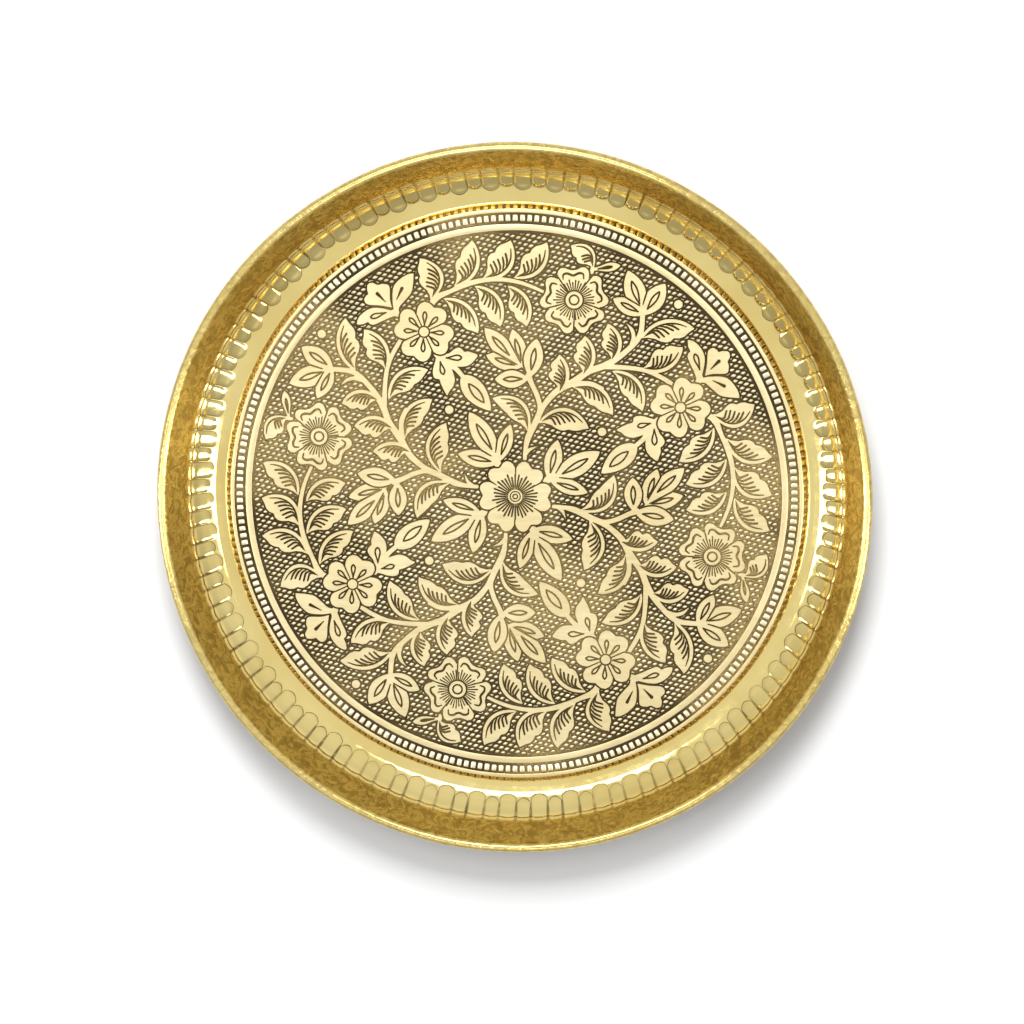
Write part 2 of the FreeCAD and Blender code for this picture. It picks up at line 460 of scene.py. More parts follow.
def draw_ornament():
    """The whole ornament: raised brass above zero."""
    lines = Field()
    under = Field()
    for points, widths in STEMS:
        stroke(under, points, widths)
    for base, tip, arch, belly in VINE_LEAVES + BORDER_LEAVES:
        leaf(under, lines, base, tip, arch, belly)
    bell_flower(under, lines)
    bud_spray(under, lines)
    rose_bud(under, lines)
    for base, tip, half_width in UPPER_ALMONDS:
        almond(under, lines, base, tip, half_width)
    for place in DOTS:
        disc(under, place, DOT_RADIUS)
    for cut in LEAF_CUTS:
        stroke(lines, cut, [0.16, 0.15, 0.10])
    behind = Field()
    for base, tip, half_width in LOWER_ALMONDS:
        almond(behind, lines, base, tip, half_width)
    flowers = Field()
    rose(flowers, lines, ROSE_PLACE)
    small_flower(flowers, lines, SMALL_PLACE)
    middle = Field()
    middle_lines = Field()
    middle_flower(middle, middle_lines)

    ornament = over(behind.quartered(), under.quartered())
    ornament = over(ornament, flowers.quartered())
    cut = lines.quartered()
    ornament.value = np.minimum(ornament.value, -cut.value)
    ornament = over(ornament, middle)
    ornament.value = np.minimum(ornament.value, -middle_lines.value)
    return ornament

# ---------------------------------------------------------------------------------------------
# From the field to closed outlines.

# The cell sides that an outline joins, by which of the four corners are brass: bottom left is 1,
# bottom right 2, top right 4, top left 8. Sides are bottom 0, right 1, top 2, left 3, and the
# brass is always on the outline's left.
CELL_CASES = {1: [(0, 3)], 2: [(1, 0)], 3: [(1, 3)], 4: [(2, 1)], 5: [(0, 3), (2, 1)], 6: [(2, 0)],
              7: [(2, 3)], 8: [(3, 2)], 9: [(0, 2)], 10: [(1, 0), (3, 2)], 11: [(1, 2)],
              12: [(3, 1)], 13: [(0, 1)], 14: [(3, 0)]}


def outlines(value, axis):
    """Closed outlines of the places where value is above zero, brass on the left."""
    brass = value > 0
    count = len(axis)
    case = (brass[:-1, :-1] * 1 + brass[:-1, 1:] * 2 + brass[1:, 1:] * 4 + brass[1:, :-1] * 8)
    starts, ends = [], []
    for number, joins in CELL_CASES.items():
        row, column = np.nonzero(case == number)
        cell = row * count + column
        flat = count * count
        side = [cell, flat + cell + 1, cell + count, flat + cell]
        for start, end in joins:
            starts.append(side[start])
            ends.append(side[end])
    starts = np.concatenate(starts)
    ends = np.concatenate(ends)
    order = np.argsort(starts)
    starts, ends = starts[order], ends[order]
    following = np.searchsorted(starts, ends)

    upright = starts >= count * count
    row, column = np.divmod(starts % (count * count), count)
    here = value[row, column]
    there = value[row + upright, column + ~upright]
    share = here / (here - there)
    step = axis[1] - axis[0]
    places = np.stack([axis[column] + step * share * ~upright, axis[row] + step * share * upright], axis=1)

    loops = []
    follow = following.tolist()
    seen = [False] * len(follow)
    for first in range(len(follow)):
        if seen[first]:
            continue
        loop = []
        at = first
        while not seen[at]:
            seen[at] = True
            loop.append(at)
            at = follow[at]
        loops.append(places[loop])
    return loops


def thinned(loop, slack):
    """Leaves out the points of a closed outline that lie within slack of the line without them."""
    far = int(np.argmax(np.hypot(*(loop - loop[0]).T)))
    keep = {0, far}
    spans = [(0, far), (far, len(loop))]
    closed = np.vstack([loop, loop[:1]])
    while spans:
        a, b = spans.pop()
        if b - a < 2:
            continue
        chord = closed[b] - closed[a]
        length = math.hypot(*chord)
        offset = closed[a + 1:b] - closed[a]
        if length < 1e-9:
            gap = np.hypot(*offset.T)
        else:
            gap = np.abs(chord[0] * offset[:, 1] - chord[1] * offset[:, 0]) / length
        most = int(np.argmax(gap))
        if gap[most] > slack:
            middle = a + 1 + most
            keep.add(middle)
            spans += [(a, middle), (middle, b)]
    return loop[sorted(keep)]


def area(loop):
    x, y = loop.T
    return 0.5 * float(np.sum(x * np.roll(y, -1) - y * np.roll(x, -1)))


def holds(loop, place):
    """Whether a closed outline goes round a place."""
    x, y = loop.T
    next_x, next_y = np.roll(x, -1), np.roll(y, -1)
    crosses = (y > place[1]) != (next_y > place[1])
    at = x[crosses] + (place[1] - y[crosses]) * (next_x - x)[crosses] / (next_y - y)[crosses]
    return np.count_nonzero(at > place[0]) % 2 == 1

# ---------------------------------------------------------------------------------------------
# Meshes. A ring of points is an array with one row per point.


def new_piece(name, points, faces, material, smooth_below=35, scale=MM):
    """A mesh object in millimetres, shaded smooth where faces meet at less than an angle."""
    mesh = bpy.data.meshes.new(name)
    mesh.from_pydata((np.asarray(points) * scale).tolist(), [], faces)
    mesh.validate()
    mesh.shade_smooth()
    mesh.set_sharp_from_angle(angle=math.radians(smooth_below))
    piece = bpy.data.objects.new(name, mesh)
    bpy.context.scene.collection.objects.link(piece)
    mesh.materials.append(material)
    return piece


def fit(piece, slot, *nodes):
    """Rides a piece on the tray and hides the CAD nodes that it stands for. The slot, its finish's name, is not
    used.
    """
    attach(piece, "root")
    if nodes:
        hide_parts(*nodes)


def inward(loop):
    """The unit direction into the brass at each point of a closed outline."""
    ahead = np.roll(loop, -1, axis=0) - loop
    left = np.stack([-ahead[:, 1], ahead[:, 0]], axis=1)
    left /= np.maximum(np.hypot(*left.T), 1e-9)[:, None]
    both = left + np.roll(left, 1, axis=0)
    return both / np.maximum(np.hypot(*both.T), 1e-9)[:, None]


def band_faces(lower, upper, count):
    """Quads between two closed rings of points that start at lower and upper."""
    return [(lower + i, lower + (i + 1) % count, upper + (i + 1) % count, upper + i) for i in range(count)]


class Blocks:
    """Raised blocks with bevelled edges, all in one mesh."""

    def __init__(self, base, top, bevel_width, bevel_depth):
        self.levels = [(0.0, base), (0.15 * bevel_width, top - bevel_depth), (bevel_width, top)]
        self.points = []
        self.faces = []
        self.count = 0

    def add(self, loops, caps=None):
        """One block: its outline and the outlines of its holes, and the triangles that fill it."""
        outline = np.vstack(loops)
        directions = np.vstack([inward(loop) for loop in loops])
        size = len(outline)
        for inset, level in self.levels:
            ring = outline + inset * directions
            self.points.append(np.column_stack([ring, np.full(size, level)]))
        last = (len(self.levels) - 1) * size
        start = self.count
        for loop in loops:
            for level in range(len(self.levels) - 1):
                lower = start + level * size
                self.faces += band_faces(lower, lower + size, len(loop))
            start += len(loop)
        if caps is None:
            caps = [tuple(range(size))]
        self.faces += [tuple(self.count + last + i for i in cap) for cap in caps]
        self.faces += [tuple(self.count + i for i in reversed(cap)) for cap in caps]
        self.count += size * len(self.levels)

    def piece(self, name, material, smooth_below):
        return new_piece(name, np.vstack(self.points), self.faces, material, smooth_below)


def in_outline(loop, places):
    """Which of some places are inside a closed outline."""
    inside = np.zeros(len(places), dtype=bool)
    for (ax, ay), (bx, by) in zip(loop, np.roll(loop, -1, axis=0)):
        if ay != by:
            crosses = (ay > places[:, 1]) != (by > places[:, 1])
            inside ^= crosses & (ax + (places[:, 1] - ay) * (bx - ax) / (by - ay) > places[:, 0])
    return inside


def filled(loops):
    """Triangles that fill an outline and leave its holes open, as indices into all the points."""
    points = np.vstack(loops)
    edges = []
    start = 0
    for loop in loops:
        edges += [(start + i, start + (i + 1) % len(loop)) for i in range(len(loop))]
        start += len(loop)
    made = delaunay_2d_cdt([Vector(point) for point in points], edges, [], 1, 1e-7)
    corners, triangles, origins = np.array([tuple(v) for v in made[0]]), np.array(made[2]), made[3]
    middles = corners[triangles].mean(axis=1)
    keep = np.ones(len(triangles), dtype=bool)
    for hole in loops[1:]:
        keep &= ~in_outline(hole, middles)
    nearest = [origin[0] if origin else -1 for origin in origins]
    for i in [i for i, origin in enumerate(nearest) if origin < 0]:
        nearest[i] = int(np.argmin(np.hypot(*(points - corners[i]).T)))
    triangles = [tuple(nearest[i] for i in triangle) for triangle in triangles[keep]]
    return [triangle for triangle in triangles if len(set(triangle)) == 3]


def grouped(loops, least):
    """Each outline with its holes, leaving out those smaller than least."""
    groups = [[loop] for loop in loops if area(loop) > least]
    lows = np.array([group[0].min(axis=0) for group in groups])
    highs = np.array([group[0].max(axis=0) for group in groups])
    for hole in loops:
        if area(hole) > -0.3 * least:
            continue
        near = np.nonzero(((lows <= hole[0]) & (highs >= hole[0])).all(axis=1))[0]
        around = [i for i in near if in_outline(groups[i][0], hole[:1])[0]]
        if around:
            groups[min(around, key=lambda i: area(groups[i][0]))].append(hole)
    return groups


def lathe(section, columns, shift=None):
    """Points and quads of a closed section turned about the axis.

    shift(angle) may give each section point a move along radius and height at that angle.
    """
    section = np.asarray(section)
    rows = len(section)
    rings = []
    for angle in columns:
        r, z = (section if shift is None else section + shift(angle)).T
        rings.append(np.column_stack([r * math.cos(angle), r * math.sin(angle), z]))
    faces = []
    for column in range(len(columns)):
        here = column * rows
        there = ((column + 1) % len(columns)) * rows
        for row in range(rows):
            after = (row + 1) % rows
            faces.append((here + row, here + after, there + after, there + row))
    return np.vstack(rings), faces


def even_columns(count):
    return np.arange(count) * (2 * math.pi / count)


def bent(corners, radii, step=12):
    """Straight runs through corners, with an arc of the given radius at each inner corner."""
    corners = np.asarray(corners, dtype=float)
    line = [corners[0]]
    for before, corner, after, radius in zip(corners, corners[1:], corners[2:], radii):
        back = (before - corner) / np.hypot(*(before - corner))
        on = (after - corner) / np.hypot(*(after - corner))
        turn = math.pi - math.acos(np.clip(back @ on, -1, 1))
        reach = radius * math.tan(turn / 2)
        middle = corner + (back + on) / np.hypot(*(back + on)) * radius / math.cos(turn / 2)
        start = corner + back * reach - middle
        sense = math.copysign(1, back[0] * on[1] - back[1] * on[0])
        steps = max(2, round(math.degrees(turn) / step))
        for k in range(steps + 1):
            c, s = math.cos(-sense * turn * k / steps), math.sin(-sense * turn * k / steps)
            line.append(middle + np.array([c * start[0] - s * start[1], s * start[0] + c * start[1]]))
    line.append(corners[-1])
    return np.array(line)


def beside(corners, distance):
    """Corners of a line at a distance to the right of another."""
    corners = np.asarray(corners, dtype=float)
    ahead = np.diff(corners, axis=0)
    ahead /= np.hypot(*ahead.T)[:, None]
    right = np.stack([ahead[:, 1], -ahead[:, 0]], axis=1)
    first = np.vstack([right[:1], right])
    last = np.vstack([right, right[-1:]])
    both = first + last
    return corners + distance * both * (2 / (both ** 2).sum(axis=1))[:, None] / 1.0


def sheet_section(corners, radii):
    """A closed section: a bent line, and the same line one sheet thickness below."""
    lower_corners = beside(corners, SHEET)
    ahead = np.diff(np.asarray(corners, dtype=float), axis=0)
    cross = ahead[:-1, 0] * ahead[1:, 1] - ahead[:-1, 1] * ahead[1:, 0]
    lower_radii = [max(0.12, radius + math.copysign(SHEET, turn)) for radius, turn in zip(radii, cross)]
    return np.vstack([bent(corners, radii), bent(lower_corners, lower_radii)[::-1]])

# ---------------------------------------------------------------------------------------------
# Materials, all worked out from an object's own coordinates.


class Finish:
    """A material under construction. Inputs are sockets to join or plain values."""

    def __init__(self, name):
        self.material = bpy.data.materials.new(name)
        self.material.use_nodes = True
        self.tree = self.material.node_tree
        self.shader = self.tree.nodes["Principled BSDF"]
        self.place = self.add("ShaderNodeTexCoord").outputs["Object"]

    def give(self, node, inputs):
        for name, value in inputs.items():
            if isinstance(value, bpy.types.NodeSocket):
                self.tree.links.new(value, node.inputs[name])
            else:
                node.inputs[name].default_value = value

    def add(self, kind, inputs=None, **settings):
        node = self.tree.nodes.new(kind)
        for name, value in settings.items():
            setattr(node, name, value)
        self.give(node, inputs or {})
        return node

    def math(self, operation, *values):
        inputs = dict(enumerate(values))
        return self.add("ShaderNodeMath", inputs, operation=operation).outputs[0]

    def stretched(self, scale):
        """The object's coordinates, drawn out by a scale along each axis."""
        return self.add("ShaderNodeMapping", {"Vector": self.place, "Scale": scale}).outputs[0]

    def around(self, across, along):
        """Coordinates that follow circles about the axis: fine across them and long along them."""
        x, y, z = self.add("ShaderNodeSeparateXYZ", {0: self.place}).outputs
        radius = self.math("SQRT", self.math("ADD", self.math("MULTIPLY", x, x), self.math("MULTIPLY", y, y)))
        turn = self.math("ARCTAN2", y, x)
        joined = {0: self.math("MULTIPLY", radius, across), 1: self.math("MULTIPLY", turn, along),
                  2: self.math("MULTIPLY", z, across)}
        return self.add("ShaderNodeCombineXYZ", joined).outputs[0]

    def noise(self, scale, detail=3, place=None, roughness=0.55, distortion=0.0):
        inputs = {"Vector": place or self.place, "Scale": scale, "Detail": detail, "Roughness": roughness,
                  "Distortion": distortion}
        return self.add("ShaderNodeTexNoise", inputs).outputs["Fac"]

    def between(self, value, low, high, to_low=0.0, to_high=1.0):
        """Maps low to high onto another range, eased and held at its ends."""
        inputs = {"Value": value, "From Min": low, "From Max": high, "To Min": to_low, "To Max": to_high}
        return self.add("ShaderNodeMapRange", inputs, interpolation_type="SMOOTHSTEP").outputs["Result"]

    def blend(self, share, first, second):
        """A mix of two colours, each a socket or red, green and blue."""
        mix = self.add("ShaderNodeMix", data_type="RGBA")
        factor = [socket for socket in mix.inputs if socket.name == "Factor" and socket.type == "VALUE"][0]
        colours = [socket for socket in mix.inputs if socket.type == "RGBA"]
        self.tree.links.new(share, factor)
        for socket, colour in zip(colours, (first, second)):
            if isinstance(colour, bpy.types.NodeSocket):
                self.tree.links.new(colour, socket)
            else:
                socket.default_value = (*colour, 1)
        return [socket for socket in mix.outputs if socket.type == "RGBA"][0]

    def bump(self, height, distance, under=None):
        inputs = {"Height": height, "Distance": distance, "Strength": 1.0}
        if under is not None:
            inputs["Normal"] = under
        return self.add("ShaderNodeBump", inputs).outputs[0]


def flute_crease_shade(finish):
    """Painted shade in the creases along the sides and feet of the flutes, from 0 to 1."""
    x, y, z = finish.add("ShaderNodeSeparateXYZ", {0: finish.place}).outputs
    radius = finish.math("DIVIDE", finish.math("SQRT", finish.math("MULTIPLY_ADD", x, x, finish.math("MULTIPLY", y, y))), MM)
    turn = finish.math("MULTIPLY", finish.math("ARCTAN2", y, x), FLUTE_PAIRS / (2 * math.pi))
    pair = finish.math("FRACT", turn)
    (wide, _, wide_start), (narrow, _, narrow_start) = FLUTES
    second = finish.math("GREATER_THAN", pair, wide)
    half = finish.math("MULTIPLY_ADD", second, (narrow - wide) / 2, wide / 2)
    inside = finish.math("SUBTRACT", pair, finish.math("MULTIPLY", second, wide))
    across = finish.math("ABSOLUTE", finish.math("SUBTRACT", finish.math("DIVIDE", inside, half), 1))
    pitch = 2 * math.pi * WALL_KNEE[0] / FLUTE_PAIRS
    side = finish.math("MULTIPLY", finish.math("SUBTRACT", 1, across), finish.math("MULTIPLY", half, pitch))
    start = finish.math("MULTIPLY_ADD", second, narrow_start - wide_start, wide_start + WALL_START[0] + 0.15)
    arch = finish.math("MULTIPLY", finish.math("MULTIPLY", across, across), FLUTE_ARCH)
    foot = finish.math("SUBTRACT", radius, finish.math("ADD", start, arch))
    near = finish.math("MINIMUM", side, foot)
    width = finish.between(z, WALL_FOOT[1] * MM, WALL_KNEE[1] * MM, *CREASE_SHADE_WIDTHS)
    inner = finish.between(finish.math("DIVIDE", near, width), 0.3, 1.0, 1.0, 0.0)
    outer = finish.between(near, -0.12, 0.0)
    return finish.math("MULTIPLY", inner, outer)


def polished_brass(name, fluted=False):
    """Bright brass with polishing lines round the tray, painted darker and mottled up the steep wall as painted
    shade and reflection, with a painted highlight along its top by the rim.
    """
    finish = Finish(name)
    height = finish.add("ShaderNodeSeparateXYZ", {0: finish.place}).outputs["Z"]
    # Painted shade and reflection: above the knee the wall is blended into a darker, mottled brass, and a painted
    # highlight lightens it again just under the rim.
    low = finish.between(height, (WALL_KNEE[1] + 0.9) * MM, (WALL_KNEE[1] + 2.4) * MM)
    high = finish.between(height, (HEIGHT - 0.60) * MM, (HEIGHT - 0.10) * MM, 1.0, 0.45)
    wall = finish.math("MULTIPLY", low, high)
    tarnish = finish.between(finish.noise(38, 5), 0.35, 0.72)
    bright = finish.blend(tarnish, (0.86, 0.70, 0.285), (0.78, 0.60, 0.21))
    if fluted:
        speckle = finish.between(finish.noise(700, 3), 0.2, 0.6, 0.35, 0.9)
        patches = finish.between(finish.noise(60, 2), 0.40, 0.60, 0.45, 1.0)
        # Painted shade: the flutes' creases are blended towards dark brown, broken up by speckles and patches.
        crease_shade = finish.math("MULTIPLY", flute_crease_shade(finish), finish.math("MULTIPLY", speckle, patches))
        bright = finish.blend(crease_shade, bright, (0.17, 0.11, 0.032))
    squiggles = finish.between(finish.noise(480, 4, distortion=1.4, roughness=0.6), 0.38, 0.62)
    shaded_wall_colour = finish.blend(squiggles, (0.42, 0.290, 0.075), (0.69, 0.51, 0.150))
    colour = finish.blend(wall, bright, shaded_wall_colour)
    smears = finish.between(finish.noise(210, 4, roughness=0.7), 0.35, 0.75, 0.07, 0.16)
    rough = finish.math("ADD", smears, finish.math("MULTIPLY", wall, 0.12))
    dents = finish.bump(finish.noise(230, 1, distortion=0.6), 0.000040)
    waves = finish.bump(finish.math("MULTIPLY", squiggles, wall), 0.000030, dents)
    lines = finish.bump(finish.noise(1.0, 2, finish.around(5200, 9)), 0.0000016, waves)
    finish.give(finish.shader, {"Base Color": colour, "Metallic": 1.0, "Roughness": rough, "Normal": lines})
    return finish.material


def shaded_step_brass():
    """Brown-toned satin brass for the beads on the step: a much darker copy of the relief brass, as painted
    shade.
    """
    finish = Finish("shaded_step_brass")
    patch = finish.between(finish.noise(420, 3), 0.35, 0.7)
    colour = finish.blend(patch, (0.54, 0.40, 0.19), (0.34, 0.235, 0.095))
    rough = finish.between(finish.noise(1400, 2), 0.3, 0.7, 0.17, 0.27)
    finish.give(finish.shader, {"Base Color": colour, "Metallic": 1.0, "Roughness": rough})
    return finish.material


def relief_brass(name, light, dark):
    """Satin brass with antique lacquer left low on its sides."""
    finish = Finish(name)
    grain = finish.noise(1.0, 3, finish.stretched((260, 2600, 260)))
    cloud = finish.noise(55, 4)
    brass = finish.blend(finish.between(cloud, 0.3, 0.7), light, dark)
    height = finish.add("ShaderNodeSeparateXYZ", {0: finish.place}).outputs["Z"]
    wear = finish.math("MULTIPLY", finish.math("SUBTRACT", finish.noise(1500, 2), 0.5), 0.00012)
    bare = finish.between(finish.math("ADD", height, wear), (FLOOR_TOP - 0.17) * MM, (FLOOR_TOP - 0.05) * MM)
    colour = finish.blend(bare, (0.085, 0.058, 0.018), brass)
    rough = finish.between(grain, 0.25, 0.75, 0.30, 0.42)
    metal = finish.math("MULTIPLY", bare, 0.92)
    lines = finish.bump(grain, 0.0000035)
    finish.give(finish.shader, {"Base Color": colour, "Metallic": metal, "Roughness": rough, "Normal": lines})
    finish.shader.inputs["Specular IOR Level"].default_value = 0.2
    return finish.material


def antique_lacquer():
    """Dark lacquer wiped over the recess, thinner and browner in patches."""
    finish = Finish("antique_lacquer")
    wiped = finish.between(finish.noise(32, 3, distortion=0.8), 0.38, 0.66)
    grit = finish.between(finish.noise(2300, 2), 0.35, 0.7)
    thin = finish.math("MULTIPLY", wiped, finish.math("ADD", finish.math("MULTIPLY", grit, 0.5), 0.5))
    colour = finish.blend(thin, (0.050, 0.033, 0.011), (0.42, 0.30, 0.11))
    rough = finish.between(grit, 0.0, 1.0, 0.50, 0.65)
    pits = finish.bump(grit, 0.00003)
    finish.give(finish.shader, {"Base Color": colour, "Roughness": rough, "Normal": pits})
    finish.shader.inputs["Specular IOR Level"].default_value = 0.12
    return finish.material


def edge_wire():
    """Plain drawn wire."""
    finish = Finish("edge_wire")
    colour = finish.blend(finish.noise(600, 3), (0.55, 0.42, 0.22), (0.42, 0.31, 0.16))
    drawn = finish.bump(finish.noise(1.0, 2, finish.around(9000, 12)), 0.000003)
    finish.give(finish.shader, {"Base Color": colour, "Metallic": 1.0, "Roughness": 0.35, "Normal": drawn})
    return finish.material


# ---------------------------------------------------------------------------------------------
# The pieces.

TURNED_COLUMNS = 360
PEBBLE_ROWS = [(75.85, 1.080, 0.048), (135.85, 1.083, 0.030)]   # direction, spacing, start in spacings
PEBBLE_REACH = 0.375       # half a pebble, in spacings
PEBBLE_EDGE = 0.30         # clear ground between pebbles and motifs
RELIEF = dict(base=RECESS + SUNK, top=FLOOR_TOP)


def floor_sheet(brass):
    """The floor: the recess runs on under the border's dentils as far as the thin ring."""
    corners = [(0.0, RECESS), (THIN_RING - 0.12, RECESS), (THIN_RING, FLOOR_TOP), (PANEL_RADIUS, FLOOR_TOP)]
    section = sheet_section(corners, [0.03, 0.03])
    section = section[section[:, 0] > 0.01]
    section = np.vstack([[(1.0, RECESS)], section, [(1.0, RECESS - SHEET)]])
    points, faces = lathe(section, even_columns(TURNED_COLUMNS))
    rows = len(section)
    faces = [face for face in faces if not (face[0] % rows == rows - 1 and face[1] % rows == 0)]
    faces.append(tuple(column * rows for column in range(TURNED_COLUMNS)))
    faces.append(tuple(column * rows + rows - 1 for column in reversed(range(TURNED_COLUMNS))))
    fit(new_piece("floor_sheet", points, faces, brass), "polished_brass", "base_panel")


def patina_ground(lacquer):
    """Lacquer over the whole recess, as a thin disc."""
    rim = THIN_RING - 0.10
    section = [(1.0, RECESS + SUNK), (rim, RECESS + SUNK), (rim, FILL_TOP), (1.0, FILL_TOP)]
    points, faces = lathe(section, even_columns(TURNED_COLUMNS))
    faces = [face for face in faces if not face[0] % 4 == 3]
    faces.append(tuple(column * 4 + 3 for column in range(TURNED_COLUMNS)))
    faces.append(tuple(column * 4 for column in reversed(range(TURNED_COLUMNS))))
    fit(new_piece("patina_ground", points, faces, lacquer), "antique_lacquer", "antique_fill")


def relief_motifs(ornament, brass):
    """The flowers, leaves and vines, with the engraved lines left open."""
    loops = [thinned(loop, 0.010) for loop in outlines(ornament.value, ornament.axis) if len(loop) > 8]
    blocks = Blocks(bevel_width=0.07, bevel_depth=0.06, **RELIEF)
    for group in grouped(loops, least=0.12):
        blocks.add(group, filled(group))
    fit(blocks.piece("relief_motifs", brass, 30), "relief_brass")


def pebble_field(ornament):
    """Two crossing rows of grooves leave rounded pebbles, cut off short of the motifs."""
    x, y = np.meshgrid(ornament.axis, ornament.axis)
    unevenness = np.random.default_rng(7).uniform(-0.035, 0.03, size=(251, 251))
    across = []
    cells = []
    for direction, spacing, start in PEBBLE_ROWS:
        turn = math.radians(direction)
        along = (x * math.cos(turn) + y * math.sin(turn)) / spacing + start
        cells.append(np.round(along).astype(int))
        across.append(np.abs(along - np.round(along)))
    reach = PEBBLE_REACH + unevenness[cells[0] % 251, cells[1] % 251]
    squareness = 2.6
    spread = ((across[0] / reach) ** squareness + (across[1] / reach) ** squareness) ** (1 / squareness)
    pebbles = (1 - spread) * reach * PEBBLE_ROWS[0][1]
    pebbles = np.minimum(pebbles, -(ornament.value + PEBBLE_EDGE))
    return np.minimum(pebbles, FIELD_RADIUS - 0.15 - np.hypot(x, y))


def relief_pebbles(ornament, brass):
    """The pebbled ground between the motifs, one piece for each quarter of the floor."""
    quarters = [Blocks(bevel_width=0.17, bevel_depth=0.11, **RELIEF) for _ in range(4)]
    for loop in outlines(pebble_field(ornament), ornament.axis):
        if len(loop) < 8 or area(loop) < 0.07:
            continue
        loop = thinned(loop, 0.022)
        x, y = loop.mean(axis=0)
        quarter = (x < 0) + 2 * (y < 0)
        if len(loop) > 3:
            quarters[quarter].add([loop])
    for number, blocks in enumerate(quarters, start=1):
        fit(blocks.piece(f"relief_pebbles_{number}", brass, 75), "relief_brass")


def ring_section(inner, outer, base, top, edge):
    """A flat ring with eased upper edges."""
    corners = [(outer, base), (outer, top), (inner, top), (inner, base)]
    return bent(corners, [edge, edge], step=30)


def border_ring(brass):
    section = ring_section(*PLAIN_RING, RECESS + SUNK, FLOOR_TOP, 0.08)
    points, faces = lathe(section[::-1], even_columns(TURNED_COLUMNS))
    fit(new_piece("border_ring", points, faces, brass), "relief_brass")


def border_edge(brass):
    """The thin ring at the top of the step."""
    section = ring_section(THIN_RING, STEP_TOP[0] - 0.08, RECESS + SUNK, FLOOR_TOP + 0.02, 0.07)
    points, faces = lathe(section[::-1], even_columns(2 * TURNED_COLUMNS))
    fit(new_piece("border_edge", points, faces, brass), "relief_brass")


def rounded_oblong(half_across, half_along, cut):
    """The outline of an oblong with rounded corners, across the first axis and along the second."""
    corner = [(0.0, cut), (0.3 * cut, 0.3 * cut), (cut, 0.0)]
    near = [(-half_across + x, -half_along + y) for x, y in corner]
    right = [(half_across - x, -half_along + y) for x, y in corner[::-1]]
    return np.array(near + right + [(-x, -y) for x, y in near + right])


def border_dentils(brass):
    """A ring of small rounded blocks."""
    blocks = Blocks(bevel_width=0.20, bevel_depth=0.10, **RELIEF)
    middle = sum(DENTIL_RING) / 2
    half_long = (DENTIL_RING[1] - DENTIL_RING[0]) / 2
    half_wide = 0.365 * 2 * math.pi * middle / DENTIL_COUNT
    unevenness = np.random.default_rng(11).uniform(-1, 1, size=(DENTIL_COUNT, 3))
    for k in range(DENTIL_COUNT):
        size = unevenness[k] * 0.035
        outline = rounded_oblong(half_long + size[0], half_wide + size[1], 0.26)
        turn = (k + size[2]) * 2 * math.pi / DENTIL_COUNT
        c, s = math.cos(turn), math.sin(turn)
        place = outline @ np.array([[c, s], [-s, c]]) + middle * np.array([c, s])
        blocks.add([place])
    fit(blocks.piece("border_dentils", brass, 75), "relief_brass")


def heel_band(brass):
    """The step down from the border and the heel that the tray stands on."""
    corners = [(PANEL_RADIUS, FLOOR_TOP), STEP_TOP, HEEL_INNER, HEEL_OUTER, WALL_START]
    points, faces = lathe(sheet_section(corners, [0.2, 0.5, 0.5]), even_columns(2 * TURNED_COLUMNS))
    fit(new_piece("heel_band", points, faces, brass), "polished_brass", "heel_ring")


def step_beads(brass, lacquer):
    """Beads standing on the step's slope, in a band of lacquer."""
    top = np.array(STEP_TOP)
    slope = np.array(HEEL_INNER) - top
    slope /= np.hypot(*slope)
    out = np.array([-slope[1], slope[0]])
    start, end = 0.12, 1.70
    band = [top + slope * start + out * -0.05, top + slope * end + out * -0.05,
            top + slope * end + out * 0.02, top + slope * start + out * 0.02]
    points, faces = lathe(band, even_columns(TURNED_COLUMNS))
    fit(new_piece("step_lacquer", points, faces, lacquer), "antique_lacquer")

    half_long = (end - start) / 2 - 0.06
    half_wide = 0.375 * 2 * math.pi * STEP_TOP[0] / DENTIL_COUNT
    outline = rounded_oblong(half_long, half_wide, 0.22)
    directions = inward(outline)
    centre = top + slope * (start + end) / 2
    points, faces = [], []
    for k in range(DENTIL_COUNT):
        turn = k * 2 * math.pi / DENTIL_COUNT
        c, s = math.cos(turn), math.sin(turn)
        first = len(points)
        for inset, rise in ((0.0, 0.0), (0.04, 0.07), (0.18, 0.11)):
            for across, along in outline + inset * directions:
                r, z = centre + slope * across + out * rise
                points.append((r * c - along * s, r * s + along * c, z))
        size = len(outline)
        for level in range(2):
            faces += band_faces(first + level * size, first + (level + 1) * size, size)
        faces.append(tuple(range(first + 2 * size, first + 3 * size)))
        faces.append(tuple(reversed(range(first, first + size))))
    fit(new_piece("step_beads", points, faces, brass, 75), "relief_brass")


def wall_corners():
    """The wall's upper line, from the heel to where it touches the roll, and the direction there."""
    to_centre = np.array(ROLL_CENTRE) - WALL_KNEE
    bearing = math.atan2(to_centre[1], to_centre[0])
    square = bearing + math.asin(ROLL_RADIUS / np.hypot(*to_centre)) + math.pi / 2
    top = np.array(ROLL_CENTRE) + ROLL_RADIUS * np.array([math.cos(square), math.sin(square)])
    return [WALL_START, WALL_FOOT, WALL_KNEE, tuple(top)], square


